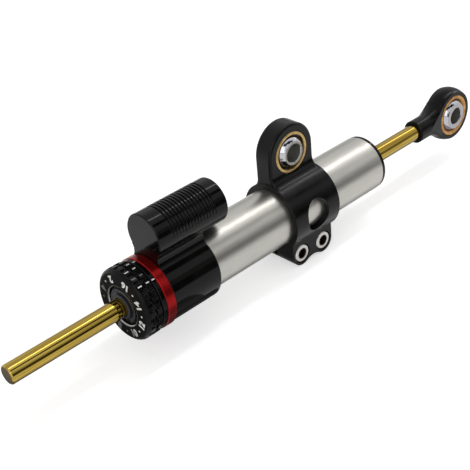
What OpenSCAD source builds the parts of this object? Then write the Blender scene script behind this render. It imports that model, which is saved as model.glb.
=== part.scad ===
/* [Damper rod] */
// Diameter of the rod that runs right through the damper
rod_d = 8; // [7:0.5:9]
// Length of plain rod that stands out ahead of the valve housing at rest
rod_front_len = 67.3; // [56:0.1:90]
// Chamfer on the plain front tip of the rod
rod_tip_chamfer = 0.5; // [0.3:0.1:1]
// Length of rod screwed into the rod end
rod_thread_len = 12.5; // [10:0.5:15]
// Rod travel from rest towards the adjuster
travel_in = 36; // [25:1:45]
// Rod travel from rest away from the adjuster
travel_out = 32; // [20:1:40]
// Space left between rod end and end cap when the rod is fully in
bump_gap = 1.2; // [0.5:0.1:3]

/* [Tube] */
// Outer diameter of the silver tube
tube_d = 26; // [25.6:0.1:27]
// Wall of the tube
tube_wall = 2; // [1.6:0.1:2.4]
// Chamfer on the rear edge of the tube
tube_chamfer = 0.4; // [0.2:0.1:0.8]

/* [Piston] */
// Length of the piston between its end faces
piston_len = 12; // [10:0.5:16]
// Width of the guide band round the piston
band_w = 5; // [3:0.5:6]
// Thickness of the guide band
band_t = 1.1; // [0.8:0.1:1.5]
// Thickness of each retaining clip beside the piston
piston_clip_t = 0.9; // [0.7:0.1:1.2]
// Radial width of each retaining clip
piston_clip_w = 1.8; // [1.4:0.1:2.2]

/* [Glands] */
// Length of each gland body inside the tube
gland_len = 17.1; // [16:0.1:22]
// Length of each rod bush
bush_len = 10; // [7:0.5:11]
// Wall of each rod bush
bush_t = 1.1; // [0.8:0.1:1.5]
// Axial length of each rod seal
seal_len = 3.4; // [2.5:0.1:3.8]
// Radial width of each rod seal
seal_w = 2.5; // [2:0.1:2.8]
// Length of each wiper ring
wiper_len = 2; // [1.5:0.1:2.5]
// Radial width of each wiper ring
wiper_w = 1; // [0.8:0.1:1.1]
// Section diameter of the O-rings
o_ring_d = 1.78; // [1.5:0.01:2]
// Thickness of the end cap's rim behind the tube
cap_rim = 1.6; // [1:0.1:3]
// Diameter of the end cap's rim
cap_d = 25.8; // [24.6:0.1:26]
// Diameter of the oil ports through the front gland
gland_port_d = 1.4; // [1:0.1:1.6]
// Number of oil ports through the front gland
gland_port_count = 6; // [3:1:8]

/* [Valve housing] */
// Diameter of the collar round the tube
collar_d = 30; // [29.6:0.1:32]
// Length of the collar
collar_len = 24.2; // [22:0.1:30]
// Rounding of the collar's rear edge
collar_round = 0.9; // [0.4:0.1:1.5]
// Length of tube that the collar holds
tube_seat_len = 11.6; // [10:0.1:12.4]
// Thickness of the collar's front wall
front_wall = 2.8; // [2:0.1:3]
// Diameter of the reservoir barrel
reservoir_d = 19.3; // [18.4:0.1:21]
// Length of the reservoir barrel
reservoir_len = 36; // [34:0.5:45]
// Height of the reservoir axis above the rod axis
reservoir_rise = 24.15; // [23.8:0.05:26]
// Radius of the hollow waist between reservoir and collar
waist_r = 5; // [4:0.5:7]
// Bore of the reservoir
reservoir_bore_d = 14.4; // [12:0.1:15]
// Closed wall at the front of the reservoir
reservoir_wall = 4; // [2:0.5:5]
// Number of cooling grooves across the barrel
groove_count = 15; // [6:1:16]
// Pitch of the cooling grooves
groove_pitch = 1.565; // [1.4:0.005:1.6]
// Width of a cooling groove
groove_w = 0.8; // [0.5:0.05:1]
// Depth of a cooling groove at the top of the barrel
groove_depth = 0.7; // [0.4:0.05:1]
// Distance of the first groove from the front face
groove_start = 7.3; // [5:0.1:8]
// Height above the barrel's axis where the grooves run out
groove_runout = 4.1; // [2:0.1:6]
// Diameter of the passage from reservoir to valve
passage_d = 3; // [2:0.1:3.5]
// Distance of that passage from the front face
passage_x = 7; // [6:0.1:8]

/* [Reservoir inside] */
// Length of the floating piston
floater_len = 7; // [5:0.5:8]
// Front face of the floating piston from the housing front at rest
floater_x = 13.5; // [12:0.5:14]
// Thickness of the plug that closes the reservoir
plug_len = 4.8; // [4.2:0.1:6]
// Thickness of the circlip that holds the plug
plug_clip_t = 0.8; // [0.6:0.1:1]
// Depth of the circlip behind the barrel's rear rim
plug_recess = 0.9; // [0.5:0.1:1.5]
// Thread diameter of the gas fill screw
fill_screw_d = 3; // [2.5:0.1:4]
// Head diameter of the gas fill screw
fill_head_d = 5; // [4.5:0.1:6]

/* [Adjuster] */
// Diameter of the knob
knob_d = 30.9; // [28:0.1:32]
// Length of the knob
knob_len = 7.8; // [7.2:0.1:12]
// Rounding of the knob's front edge
knob_round = 2.2; // [0.8:0.1:2.4]
// Diameter of the recess in the knob's face
knob_recess_d = 16.9; // [16.6:0.1:18]
// Depth of that recess
knob_recess = 2; // [1.9:0.1:2.5]
// Chamfer on the edge of that recess
recess_chamfer = 0.4; // [0.2:0.1:0.6]
// Chamfer on the knob's rear edge
knob_chamfer = 0.6; // [0.2:0.1:0.8]
// Outer diameter of the knob's hub, which carries the spool
hub_d = 17.2; // [16:0.1:17.6]
// Number of knurl lands round the knob
knurl_count = 24; // [16:1:32]
// Width of an axial knurl groove
knurl_w = 2; // [1.2:0.1:2.2]
// Depth of the knurl
knurl_depth = 1.1; // [0.4:0.1:1.2]
// Width of the plain rim ahead of the lands
rim_w = 1.4; // [1:0.1:1.8]
// Length of the front row of lands
land_front = 2.55; // [1.5:0.05:2.7]
// Width of the groove between the two rows
land_gap = 1.4; // [0.8:0.05:1.5]
// Number of click positions
click_count = 16; // [8:1:20]
// Radius of a click dimple and of the detent ball
detent_r = 1.2; // [0.8:0.1:1.4]
// Radius of the circle of click dimples
detent_circle_r = 12.2; // [11.6:0.1:12.6]
// Length of the red spacer ring
red_ring_len = 4.2; // [4:0.1:8]
// Diameter of the red spacer ring
red_ring_d = 30.8; // [28:0.1:32]
// Length of the index ring
index_ring_len = 2.1; // [1.8:0.1:3]
// Diameter of the index ring
index_ring_d = 30.3; // [28:0.1:32]
// Outer diameter of the gland nose that the knob turns on
nose_d = 12; // [11.6:0.1:12.4]
// Thickness of the circlip and of the thrust washer on the nose
clip_t = 0.8; // [0.6:0.1:0.9]
// Outer diameter of the circlip on the nose
clip_d = 14.4; // [13.6:0.1:15]
// Outer diameter of the thrust washer
washer_d = 16.2; // [15.4:0.1:16.4]

/* [Metering spool] */
// Length of the metering spool
spool_len = 5; // [4:0.1:5.2]
// Outer diameter of the metering spool
spool_d = 23; // [22.6:0.1:23.4]
// Spool travel over the whole turn of the knob
spool_travel = 3; // [2:0.1:3.2]
// Diameter of the pin that keeps the spool from turning
spool_pin_d = 1.5; // [1:0.1:1.6]

/* [Clamp] */
// Distance of the clamp's middle from the housing front
clamp_x = 80.9; // [60:0.1:100]
// Width of the clamp along the tube
clamp_w = 26.8; // [25:0.1:30]
// Wall of the clamp round the tube
clamp_wall = 2.6; // [2:0.1:3]
// Thickness of the lug
lug_t = 9; // [8:0.1:10]
// Offset of the lug's middle from the tube axis, away from the screw heads
lug_y = 3; // [0:0.1:4]
// Height of the lug's bearing above the rod axis
lug_z = 26.2; // [25.5:0.1:32]
// Diameter of the lug's round top
lug_d = 26; // [25:0.1:26.8]
// Rounding of the lug's edges
lug_edge = 1.2; // [0.6:0.1:1.8]
// Radius of the fillets that join the lug to the clamp
lug_fillet = 5.5; // [2:0.1:6]
// Distance of each ear's outer face from the tube axis
ear_y = 11; // [10:0.1:12.5]
// Radius of the ears round each screw
ear_r = 5.55; // [5.3:0.05:6.4]
// Width of the slit between the ears
slit_w = 1.6; // [1:0.1:2.5]
// Radius of the hollow that joins the two round ears from below
hollow_r = 8; // [5:0.5:12]
// Distance between the two screws
screw_pitch = 13.4; // [12:0.1:15]
// Distance of the screws below the rod axis
screw_z = 17.45; // [17.2:0.05:18]
// Thread diameter of the clamp screws
screw_d = 5; // [4:0.5:5]
// Head diameter of the clamp screws
screw_head_d = 8.5; // [7.5:0.1:8.5]
// Head height of the clamp screws
screw_head_h = 5; // [4:0.1:5]
// Hexagon socket of the clamp screws across its flats
screw_socket = 4; // [3:0.5:4.5]
// Width of the oval window in the clamp
window_w = 12.6; // [8:0.1:15]
// Height of the oval window in the clamp
window_h = 14.6; // [8:0.1:16]
// Height of the window's middle above the rod axis
window_z = 0.6; // [0:0.1:2]

/* [Bearings] */
// Bore of both balls, for the mounting bolts
bolt_d = 8; // [6:0.5:8.5]
// Width of both balls along the bolt
ball_w = 12; // [10:0.1:12.5]
// Ball diameter of the clamp bearing
clamp_ball_d = 15.88; // [15.4:0.01:16.6]
// Outer diameter of the clamp bearing's race
clamp_race_d = 18.8; // [18.6:0.1:21]
// Ball diameter of the rod end's bearing
rod_ball_d = 17.46; // [16:0.01:17.6]
// Outer diameter of the rod end's race
rod_race_d = 20.6; // [19.8:0.1:21.5]

/* [Rod end] */
// Largest diameter of the eye
eye_d = 26.4; // [25.6:0.1:30]
// Diameter of the eye at its flat faces
eye_face_d = 24; // [23.4:0.1:25]
// Thickness of the eye
eye_t = 9.4; // [8.5:0.1:10]
// Diameter of the neck
neck_d = 11.2; // [10.6:0.1:12]
// Distance of the eye's centre from the end of the neck
neck_len = 26.5; // [24:0.1:32]
// Radius of the hollow flare that runs from the neck into the eye
flare_r = 14; // [8:0.5:16]

/* [Fits] */
// Radial clearance between pieces that turn or slide on each other
running = 0.04; // [0.02:0.01:0.08]
// Radial clearance between pieces that are assembled and stay put
slip = 0.02; // [0.01:0.01:0.04]
// Free space between moving pieces that don't touch
free_gap = 0.4; // [0.3:0.05:0.5]

/* [Hidden] */
$fn = 96;

// Every station along the rod is measured from the front face of the valve housing,
// on the rod axis. The finished damper is drawn round the centre of the clamp's ball.
rod_r = rod_d / 2;
tube_r = tube_d / 2;
bore_r = tube_r - tube_wall;
collar_r = collar_d / 2;
reservoir_r = reservoir_d / 2;
reservoir_bore_r = reservoir_bore_d / 2;

tube_x = collar_len - tube_seat_len;
flange_t = 1;
flange_x = tube_x - flange_t;
front_gland_face = tube_x + gland_len;
chamber_len = piston_len + travel_in + travel_out + 2 * free_gap;
end_gland_face = front_gland_face + chamber_len;
tube_end = end_gland_face + gland_len;
cap_end = tube_end + cap_rim;
neck_x = cap_end + travel_in + bump_gap;
eye_x = neck_x + neck_len;
piston_x = front_gland_face + free_gap + travel_in;

gland_r = bore_r - slip;
rod_hole_r = rod_r + 0.3;
bush_r = rod_r + running + bush_t;
seal_r = rod_r + running + seal_w;
wiper_r = rod_r + running + wiper_w;
seal_pocket = seal_len + 0.1;
o_groove_w = o_ring_d + 0.4;

index_x = -red_ring_len - index_ring_len;
knob_back = index_x - free_gap;
knob_face = knob_back - knob_len;
recess_floor = knob_face + knob_recess;
washer_back = recess_floor - 0.2;
clip_back = washer_back - clip_t;
clip_front = clip_back - clip_t;
nose_tip = clip_front - 0.6;
nose_r = nose_d / 2;
hub_r = hub_d / 2;
hub_end = flange_x - free_gap;
hub_hole_r = hub_r + free_gap;
spool_r = spool_d / 2;
turn_deg = 360 * (click_count - 1) / click_count;
click_deg = 360 / click_count;
spool_x = flange_x - free_gap - spool_travel * click_deg / turn_deg - spool_len;
spool_pin_r = (hub_r + spool_r) / 2 + running;

gland_port_r = (seal_r + gland_r - o_ring_d) / 2;
o_groove_at = gland_len / 2;
clip_depth = 0.4;
piston_clip_depth = 0.5;
clip_mouth = 60;
index_angle = 130;
dimple_depth = 0.5;
detent_pocket_r = detent_r + 0.05;
detent_ball_x = index_x - 0.15 + detent_r;
spring_end = -0.8;
pin_seat_x = 0.8;
plug_clip_x = reservoir_len - plug_recess - plug_clip_t;
plug_x = plug_clip_x - plug_len;
fill_head_h = 1.7;
plug_o_x = plug_x + 0.4 + o_groove_w / 2;

lug_r = lug_d / 2;
ear_z = screw_z + ear_r;
clamp_r = tube_r + clamp_wall;
row_shift = [-clamp_x, -lug_y, -lug_z];

// Moves a piece from the rod axis to the damper's own frame
module placed() {
    translate(row_shift) children();
}

// A turned piece round the rod axis, from points given as [radius, station]
module turned(points) {
    rotate([0, 90, 0]) rotate_extrude() polygon(points);
}

// A plain bar along the rod axis
module bar(r, x0, x1) {
    translate([x0, 0, 0]) rotate([0, 90, 0]) cylinder(r = r, h = x1 - x0);
}

// A plain ring round the rod axis
module ring(r_in, r_out, x0, x1) {
    turned([[r_in, x0], [r_out, x0], [r_out, x1], [r_in, x1]]);
}

// A ring of round section round the rod axis
module o_ring(r_mid, r_section, x) {
    translate([x, 0, 0]) rotate([0, 90, 0]) rotate_extrude()
        translate([r_mid, 0]) circle(r = r_section, $fn = 24);
}

// Points of an arc in a plane, n steps from angle a0 to a1
function arc(c, r, a0, a1, n = 6) =
    [for (i = [0:n]) c + r * [cos(a0 + (a1 - a0) * i / n), sin(a0 + (a1 - a0) * i / n)]];

// An open ring, such as a circlip: cut away over a gap angle at its foot
module split_ring(r_in, r_out, x0, x1, gap) {
    difference() {
        ring(r_in, r_out, x0, x1);
        rotate([90, 0, 90]) translate([0, 0, x0 - 1]) linear_extrude(x1 - x0 + 2)
            polygon([[0, 0], 2 * r_out * [-sin(gap / 2), -cos(gap / 2)],
                     2 * r_out * [sin(gap / 2), -cos(gap / 2)]]);
    }
}

// Damper rod and piston

module damper_rod() {
    tip = -rod_front_len;
    tail = neck_x + rod_thread_len;
    piston_end = piston_x + piston_len;
    color("goldenrod") placed() difference() {
        turned([[0, tip], [rod_r - rod_tip_chamfer, tip], [rod_r, tip + rod_tip_chamfer],
                [rod_r, tail - rod_tip_chamfer], [rod_r - rod_tip_chamfer, tail], [0, tail]]);
        for (x = [piston_x, piston_end - piston_clip_t])
            ring(rod_r - piston_clip_depth, rod_r + 1, x, x + piston_clip_t);
    }
}

module piston() {
    lead = 0.5;
    r = bore_r - 0.3;
    mid = piston_x + piston_len / 2;
    clip_pocket_r = rod_r - piston_clip_depth + piston_clip_w + 0.2;
    color("silver") placed() difference() {
        turned([[rod_r + slip, piston_x], [r - lead, piston_x], [r, piston_x + lead],
                [r, piston_x + piston_len - lead], [r - lead, piston_x + piston_len],
                [rod_r + slip, piston_x + piston_len]]);
        ring(bore_r - band_t - 2 * running, r + 1, mid - band_w / 2 - running,
             mid + band_w / 2 + running);
        for (x = [piston_x - 1, piston_x + piston_len - piston_clip_t - 0.1])
            bar(clip_pocket_r, x, x + piston_clip_t + 1.1);
    }
}

module piston_band() {
    mid = piston_x + piston_len / 2;
    color("peru") placed()
        ring(bore_r - running - band_t, bore_r - running, mid - band_w / 2, mid + band_w / 2);
}

module piston_clips() {
    r_in = rod_r - piston_clip_depth + slip;
    color("dimgray") placed()
        for (x = [piston_x, piston_x + piston_len - piston_clip_t])
            split_ring(r_in, r_in + piston_clip_w, x + slip, x + piston_clip_t - slip, clip_mouth);
}

// Rod end

module rod_end() {
    neck_r = neck_d / 2;
    lead = 0.5;
    flare_x = eye_x - flare_run();
    color("black") placed() difference() {
        union() {
            translate([eye_x, 0, 0]) eye_disc();
            turned([[0, neck_x], [neck_r - lead, neck_x], [neck_r, neck_x + lead],
                    [neck_r, flare_x], [0, flare_x]]);
            eye_flare(neck_r, flare_x);
        }
        translate([eye_x, 0, 0]) rotate([90, 0, 0])
            cylinder(r = rod_race_d / 2 + slip, h = 2 * eye_t, center = true);
        bar(rod_r + slip, neck_x - 1, neck_x + rod_thread_len + 0.5);
    }
}

// Distance from the eye's centre to where the flare leaves the neck. The flare's arc
// touches the neck's side and the eye's rim, so both meet it without an edge
function flare_run() = sqrt(pow(eye_d / 2 + flare_r, 2) - pow(neck_d / 2 + flare_r, 2));

// The flare: turned like the neck, and milled from round down to the eye's two faces
module eye_flare(neck_r, flare_x) {
    touch = asin(flare_run() / (eye_d / 2 + flare_r));
    flare_end = eye_x - eye_d / 2 * sin(touch);
    sunk = 2;
    intersection() {
        turned(concat([[0, flare_x]],
                      arc([neck_r + flare_r, flare_x], flare_r, 180, 180 - touch, 12),
                      [[neck_r, flare_end + sunk], [0, flare_end + sunk]]));
        linear_extrude(2 * eye_d, center = true)
            polygon([[flare_x, -neck_r], [flare_end, -eye_t / 2],
                     [flare_end + sunk, -eye_t / 2], [flare_end + sunk, eye_t / 2],
                     [flare_end, eye_t / 2], [flare_x, neck_r]]);
    }
}

// Solid disc of the eye with its crowned rim, before its bore is cut
module eye_disc() {
    crown = (eye_d - eye_face_d) / 2;
    half = eye_t / 2;
    r = (crown * crown + half * half) / (2 * crown);
    a = asin(half / r);
    rotate([90, 0, 0]) rotate_extrude()
        polygon(concat([[0, -half]], arc([eye_d / 2 - r, 0], r, -a, a, 10), [[0, half]]));
}

// Bronze race: a ring with a hollow sphere for its bore, opened by a lip at both mouths
module race(r_out, t, ball_d) {
    edge = 0.3;
    lip = 0.9;
    r = ball_d / 2 + running;
    a = asin((t / 2 - lip) / r);
    mouth_r = r * cos(a) + lip;
    rotate([90, 0, 0]) rotate_extrude()
        polygon(concat([[mouth_r, t / 2], [r_out - edge, t / 2], [r_out, t / 2 - edge],
                        [r_out, edge - t / 2], [r_out - edge, -t / 2], [mouth_r, -t / 2]],
                       arc([0, 0], r, -a, a, 16)));
}

// Steel ball, flat at both ends, with a bore for a bolt
module ball(ball_d) {
    lead = 0.4;
    bore = bolt_d / 2;
    half = ball_w / 2;
    a = asin(half / (ball_d / 2));
    rotate([90, 0, 0]) rotate_extrude()
        polygon(concat([[bore + lead, half], [bore, half - lead], [bore, lead - half],
                        [bore + lead, -half]],
                       arc([0, 0], ball_d / 2, -a, a, 24)));
}

module rod_end_race() {
    color("peru") placed() translate([eye_x, 0, 0]) race(rod_race_d / 2, eye_t, rod_ball_d);
}

module rod_end_ball() {
    color("gainsboro") placed() translate([eye_x, 0, 0]) ball(rod_ball_d);
}

// Tube, glands and seals

module tube() {
    color("silver") placed()
        turned([[bore_r, tube_x], [tube_r, tube_x], [tube_r, tube_end - tube_chamfer],
                [tube_r - tube_chamfer, tube_end], [bore_r, tube_end]]);
}

// Cuts shared by both glands. The body runs from its oil face towards dir, which is 1 or -1
module gland_cuts(face, dir, outer_end) {
    seal_end = face + dir * seal_pocket;
    span(seal_r + slip, face - dir, seal_end);
    span(bush_r + slip, seal_end - dir * 0.5, seal_end + dir * bush_len);
    span(wiper_r + slip, outer_end - dir * wiper_len, outer_end + dir);
    ring(o_mid_r(bore_r) - o_ring_d / 2 - slip, bore_r + 1,
         face + dir * o_groove_at - o_groove_w / 2, face + dir * o_groove_at + o_groove_w / 2);
}

// A bar along the rod axis between two stations in either order
module span(r, x0, x1) {
    bar(r, min(x0, x1), max(x0, x1));
}

// Middle radius of an O-ring that seals against a bore
function o_mid_r(bore) = bore - o_ring_d / 2 - slip;

// A rod bush, whose oil end lies behind the seal
module rod_bush(face, dir) {
    x0 = face + dir * seal_pocket;
    x1 = x0 + dir * bush_len;
    ring(rod_r + running, bush_r, min(x0, x1) + slip, max(x0, x1) - slip);
}

// A cup seal with its open side towards the oil
module rod_seal(face, dir) {
    x0 = face + dir * (seal_pocket - seal_len);
    x1 = face + dir * seal_pocket;
    mid = (rod_r + running + seal_r) / 2;
    notch = seal_w * 0.22;
    turned([[rod_r + running, x0], [mid - notch, x0], [mid, x0 + dir * seal_len * 0.45],
            [mid + notch, x0], [seal_r, x0], [seal_r, x1 - dir * slip],
            [rod_r + running, x1 - dir * slip]]);
}

// A wiper ring with a lip that stands out past the gland
module rod_wiper(outer_end, dir) {
    lip = 0.4;
    x0 = outer_end - dir * (wiper_len - slip);
    turned([[rod_r + running, x0], [wiper_r, x0], [wiper_r, outer_end],
            [rod_r + running + 0.3, outer_end + dir * lip], [rod_r + running, outer_end + dir * lip]]);
}

module end_cap() {
    cap_r = cap_d / 2;
    lead = 0.5;
    edge = 0.3;
    color("black") placed() difference() {
        turned([[rod_hole_r, end_gland_face], [gland_r - lead, end_gland_face],
                [gland_r, end_gland_face + lead], [gland_r, tube_end + slip],
                [cap_r, tube_end + slip], [cap_r, cap_end - edge], [cap_r - edge, cap_end],
                [rod_hole_r, cap_end]]);
        gland_cuts(end_gland_face, 1, cap_end);
    }
}

module end_bush() {
    color("darkkhaki") placed() rod_bush(end_gland_face, 1);
}

module end_seal() {
    color("darkgreen") placed() rod_seal(end_gland_face, 1);
}

module end_wiper() {
    color("dimgray") placed() rod_wiper(cap_end, 1);
}

module end_o_ring() {
    color("dimgray") placed()
        o_ring(o_mid_r(bore_r), o_ring_d / 2, end_gland_face + o_groove_at);
}

module front_gland() {
    lead = 0.5;
    nose_chamfer = 0.7;
    color("slategray") placed() difference() {
        turned([[rod_hole_r, nose_tip], [nose_r - nose_chamfer, nose_tip],
                [nose_r, nose_tip + nose_chamfer], [nose_r, flange_x], [tube_r, flange_x],
                [tube_r, tube_x - slip], [gland_r, tube_x - slip],
                [gland_r, front_gland_face - lead], [gland_r - lead, front_gland_face],
                [rod_hole_r, front_gland_face]]);
        ring(nose_r - clip_depth, nose_r + 1, clip_front, clip_back);
        gland_cuts(front_gland_face, -1, nose_tip);
        for (i = [0:gland_port_count - 1])
            rotate([360 / gland_port_count * (i + 0.5), 0, 0])
                translate([0, 0, gland_port_r])
                    bar(gland_port_d / 2, flange_x - 1, front_gland_face + 1);
    }
}

module front_bush() {
    color("darkkhaki") placed() rod_bush(front_gland_face, -1);
}

module front_seal() {
    color("darkgreen") placed() rod_seal(front_gland_face, -1);
}

module front_wiper() {
    color("dimgray") placed() rod_wiper(nose_tip, -1);
}

module front_o_ring() {
    color("dimgray") placed()
        o_ring(o_mid_r(bore_r), o_ring_d / 2, front_gland_face - o_groove_at);
}

// Valve housing with its reservoir

module valve_housing() {
    color("black") placed() difference() {
        union() {
            housing_collar();
            housing_web();
            translate([0, 0, reservoir_rise]) reservoir_barrel();
        }
        span(hub_hole_r, -1, flange_x);
        span(spool_r + running, front_wall, flange_x + 1);
        span(tube_r + slip, flange_x, collar_len + 1);
        translate([0, 0, -spool_pin_r]) span(spool_pin_d / 2 + slip, pin_seat_x, front_wall + 1);
        translate([passage_x, 0, spool_r - 1])
            cylinder(d = passage_d, h = reservoir_rise - spool_r);
        translate([0, 0, reservoir_rise]) {
            span(reservoir_bore_r, reservoir_wall, reservoir_len + 1);
            ring(0, reservoir_bore_r + clip_depth, plug_clip_x, plug_clip_x + plug_clip_t);
            cooling_grooves();
        }
    }
}

module housing_collar() {
    edge = 0.3;
    turned(concat([[0, 0], [collar_r - edge, 0], [collar_r, edge]],
                  arc([collar_r - collar_round, collar_len - collar_round],
                      collar_round, 0, 90),
                  [[0, collar_len]]));
}

module reservoir_barrel() {
    edge = 0.4;
    rim = 1;
    turned(concat([[0, 0], [reservoir_r - edge, 0], [reservoir_r, edge]],
                  arc([reservoir_r - rim, reservoir_len - rim], rim, 0, 90),
                  [[0, reservoir_len]]));
}

// The waist between collar and reservoir: hollow cheeks that run tangent into both
module housing_web() {
    low = collar_r + waist_r;
    high = reservoir_r + waist_r;
    z = (low * low - high * high + reservoir_rise * reservoir_rise) / (2 * reservoir_rise);
    y = sqrt(low * low - z * z);
    rotate([90, 0, 90]) linear_extrude(collar_len - collar_round) difference() {
        polygon([[0, 0], [y, z], [0, reservoir_rise], [-y, z]]);
        for (side = [-1, 1]) translate([side * y, z]) circle(r = waist_r);
    }
}

// Cutter for the grooves over the top of the barrel. Their floor is one cylinder, set
// lower and wider than the barrel, so that each groove runs out on both flanks
module cooling_grooves() {
    top = reservoir_r - groove_depth;
    drop = (reservoir_r * reservoir_r - top * top) / (2 * (top + groove_runout));
    difference() {
        for (i = [0:groove_count - 1])
            translate([groove_start + i * groove_pitch - groove_w / 2, -reservoir_d, 0])
                cube([groove_w, 2 * reservoir_d, reservoir_d]);
        translate([0, 0, -drop]) span(top + drop, 0, reservoir_len);
    }
}

module floating_piston() {
    cup_wall = 3.2;
    cup_floor = 2.5;
    r = reservoir_bore_r - running;
    edge = 0.3;
    mid = floater_x + floater_len / 2;
    color("silver") placed() translate([0, 0, reservoir_rise]) difference() {
        turned([[0, floater_x], [r - edge, floater_x], [r, floater_x + edge],
                [r, floater_x + floater_len - edge], [r - edge, floater_x + floater_len],
                [0, floater_x + floater_len]]);
        span(reservoir_bore_r - cup_wall, floater_x + cup_floor, floater_x + floater_len + 1);
        ring(o_mid_r(reservoir_bore_r) - o_ring_d / 2 - slip, r + 1, mid - o_groove_w / 2,
             mid + o_groove_w / 2);
    }
}

module floater_o_ring() {
    color("dimgray") placed() translate([0, 0, reservoir_rise])
        o_ring(o_mid_r(reservoir_bore_r), o_ring_d / 2, floater_x + floater_len / 2);
}

module reservoir_plug() {
    r = reservoir_bore_r - slip;
    edge = 0.3;
    dish = 0.8;
    dish_rim = 1.6;
    color("dimgray") placed() translate([0, 0, reservoir_rise]) difference() {
        turned([[0, plug_x], [r - edge, plug_x], [r, plug_x + edge], [r, plug_clip_x],
                [0, plug_clip_x]]);
        ring(fill_head_d / 2 + 1, r - dish_rim, plug_clip_x - dish, plug_clip_x + 1);
        ring(o_mid_r(reservoir_bore_r) - o_ring_d / 2 - slip, r + 1, plug_o_x - o_groove_w / 2,
             plug_o_x + o_groove_w / 2);
        span(fill_screw_d / 2 + slip, plug_x - 1, plug_clip_x + 1);
        span(fill_head_d / 2 + 0.1, plug_clip_x - fill_head_h, plug_clip_x + 1);
    }
}

module plug_o_ring() {
    color("dimgray") placed() translate([0, 0, reservoir_rise])
        o_ring(o_mid_r(reservoir_bore_r), o_ring_d / 2, plug_o_x);
}

module plug_circlip() {
    color("dimgray") placed() translate([0, 0, reservoir_rise])
        split_ring(reservoir_bore_r - 1.4, reservoir_bore_r + clip_depth - slip,
                   plug_clip_x + slip, plug_clip_x + plug_clip_t - slip, clip_mouth);
}

module fill_screw() {
    socket = 2.5;
    x = plug_clip_x - fill_head_h;
    color("silver") placed() translate([0, 0, reservoir_rise]) difference() {
        turned([[0, plug_x + 0.3], [fill_screw_d / 2, plug_x + 0.3], [fill_screw_d / 2, x + slip],
                [fill_head_d / 2, x + slip], [fill_head_d / 2, plug_clip_x - 0.4],
                [fill_head_d / 2 - 0.3, plug_clip_x - 0.1], [0, plug_clip_x - 0.1]]);
        translate([plug_clip_x - 1.2, 0, 0]) rotate([0, 90, 0])
            cylinder(d = socket / cos(30), h = 2, $fn = 6);
    }
}

// Adjuster

module adjuster_knob() {
    knob_r = knob_d / 2;
    recess_r = knob_recess_d / 2;
    land_x = knob_face + rim_w;
    groove_x = land_x + land_front;
    cutter_r = (knurl_w * knurl_w / 4 + knurl_depth * knurl_depth) / (2 * knurl_depth);
    color("black") placed() difference() {
        turned(concat([[nose_r + running, recess_floor], [recess_r, recess_floor],
                       [recess_r, knob_face + recess_chamfer],
                       [recess_r + recess_chamfer, knob_face]],
                      arc([knob_r - knob_round, knob_face + knob_round], knob_round, -90, 0),
                      [[knob_r, knob_back - knob_chamfer], [knob_r - knob_chamfer, knob_back],
                       [hub_r, knob_back], [hub_r, hub_end], [nose_r + running, hub_end]]));
        ring(knob_r - knurl_depth, knob_r + 1, groove_x, groove_x + land_gap);
        for (i = [0:knurl_count - 1])
            rotate([index_angle + 360 / knurl_count * (i + 0.5), 0, 0])
                translate([0, knob_r + cutter_r - knurl_depth, 0])
                    span(cutter_r, land_x, knob_back + 1);
        for (i = [0:click_count - 1])
            rotate([360 / click_count * i, 0, 0])
                translate([knob_back + detent_r - dimple_depth, 0, -detent_circle_r])
                    sphere(r = detent_r, $fn = 32);
    }
}

module knob_washer() {
    color("gainsboro") placed() ring(nose_r + slip, washer_d / 2, clip_back + slip, washer_back);
}

module knob_circlip() {
    color("dimgray") placed()
        split_ring(nose_r - clip_depth + slip, clip_d / 2, clip_front + slip, clip_back - slip,
                   clip_mouth);
}

module red_ring() {
    r = red_ring_d / 2;
    edge = 0.25;
    color("crimson") placed() difference() {
        turned([[hub_hole_r, -red_ring_len], [r - edge, -red_ring_len],
                [r, edge - red_ring_len], [r, -edge], [r - edge, -slip], [hub_hole_r, -slip]]);
        translate([0, 0, -detent_circle_r])
            span(detent_pocket_r, -red_ring_len - 1, spring_end);
    }
}

module index_ring() {
    r = index_ring_d / 2;
    edge = 0.25;
    rear = -red_ring_len - slip;
    color("black") placed() difference() {
        turned([[hub_hole_r, index_x], [r - edge, index_x], [r, index_x + edge],
                [r, rear - edge], [r - edge, rear], [hub_hole_r, rear]]);
        translate([0, 0, -detent_circle_r]) span(detent_pocket_r, index_x - 1, 0);
    }
}

module detent_ball() {
    color("gainsboro") placed() translate([detent_ball_x, 0, -detent_circle_r])
        sphere(r = detent_r, $fn = 48);
}

// Spring that presses the detent ball out: one unbroken coil of round wire
module detent_spring() {
    wire_r = 0.2;
    coil_r = detent_pocket_r - wire_r - 0.06;
    turns = 4;
    steps = 16;
    sides = 8;
    x0 = detent_ball_x + detent_r + wire_r + 0.05;
    x1 = spring_end - wire_r - 0.02;
    rings = turns * steps;
    points = [for (i = [0:rings], j = [0:sides - 1])
        let (turn = 360 * i / steps, side = 360 * j / sides,
             r = coil_r + wire_r * cos(side),
             x = x0 + (x1 - x0) * i / rings + wire_r * sin(side))
        [x, r * cos(turn), r * sin(turn)]];
    walls = [for (i = [0:rings - 1], j = [0:sides - 1])
        let (a = i * sides + j, b = i * sides + (j + 1) % sides)
        each [[a, b, a + sides], [b, b + sides, a + sides]]];
    start_cap = [for (j = [1:sides - 2]) [0, j + 1, j]];
    end_cap = [for (j = [1:sides - 2]) rings * sides * [1, 1, 1] + [0, j, j + 1]];
    color("silver") placed() translate([0, 0, -detent_circle_r])
        polyhedron(points, concat(walls, start_cap, end_cap));
}

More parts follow.
